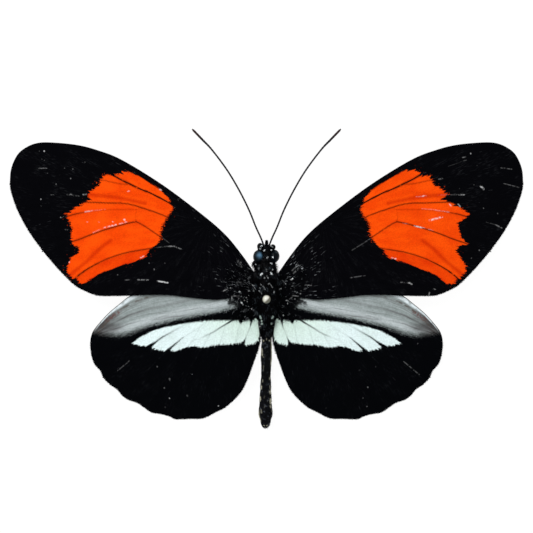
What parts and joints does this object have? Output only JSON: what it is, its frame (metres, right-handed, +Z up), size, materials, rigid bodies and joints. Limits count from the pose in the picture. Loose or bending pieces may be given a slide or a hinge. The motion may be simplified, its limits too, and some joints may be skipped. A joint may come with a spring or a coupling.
{
  "type": "pinned butterfly specimen",
  "caption": "Dry butterfly set with its wings spread flat, black with orange and pale green bands, and an insect pin with a round pearl head through its thorax.",
  "frame": {"origin": "on the pin's axis, at the clipped lower end of the pin, which is level with the surface the specimen lies on", "axes": "+X towards the tip of the butterfly's right wing, +Y towards its head, +Z up out of its back along the pin"},
  "size_m": [0.072, 0.0418, 0.0085],
  "materials": {
    "forewing": "matt black wing scales with orange patches",
    "hindwing": "matt black wing scales with a pale green band and a grey front edge",
    "fur": "black fur with blue-grey hairs",
    "abdomen": "dark scaled cuticle",
    "eye": "glossy blue-black facets",
    "horn": "dark brown-black cuticle",
    "pin_steel": "polished drawn wire",
    "pin_head": "pearl white ball"
  },
  "bodies": {
    "root": {"head": "fur", "thorax": "fur", "abdomen": "abdomen", "left_eye": "eye", "right_eye": "eye", "left_antenna": "horn", "right_antenna": "horn", "left_palp": "fur", "right_palp": "fur", "proboscis": "horn", "left_forewing": "forewing", "right_forewing": "forewing", "left_hindwing": "hindwing", "right_hindwing": "hindwing", "left_foreleg": "horn", "right_foreleg": "horn", "left_midleg": "horn", "right_midleg": "horn", "left_hindleg": "horn", "right_hindleg": "horn", "pin_shaft": "pin_steel", "pin_head": "pin_head"}
  },
  "joints": []
}
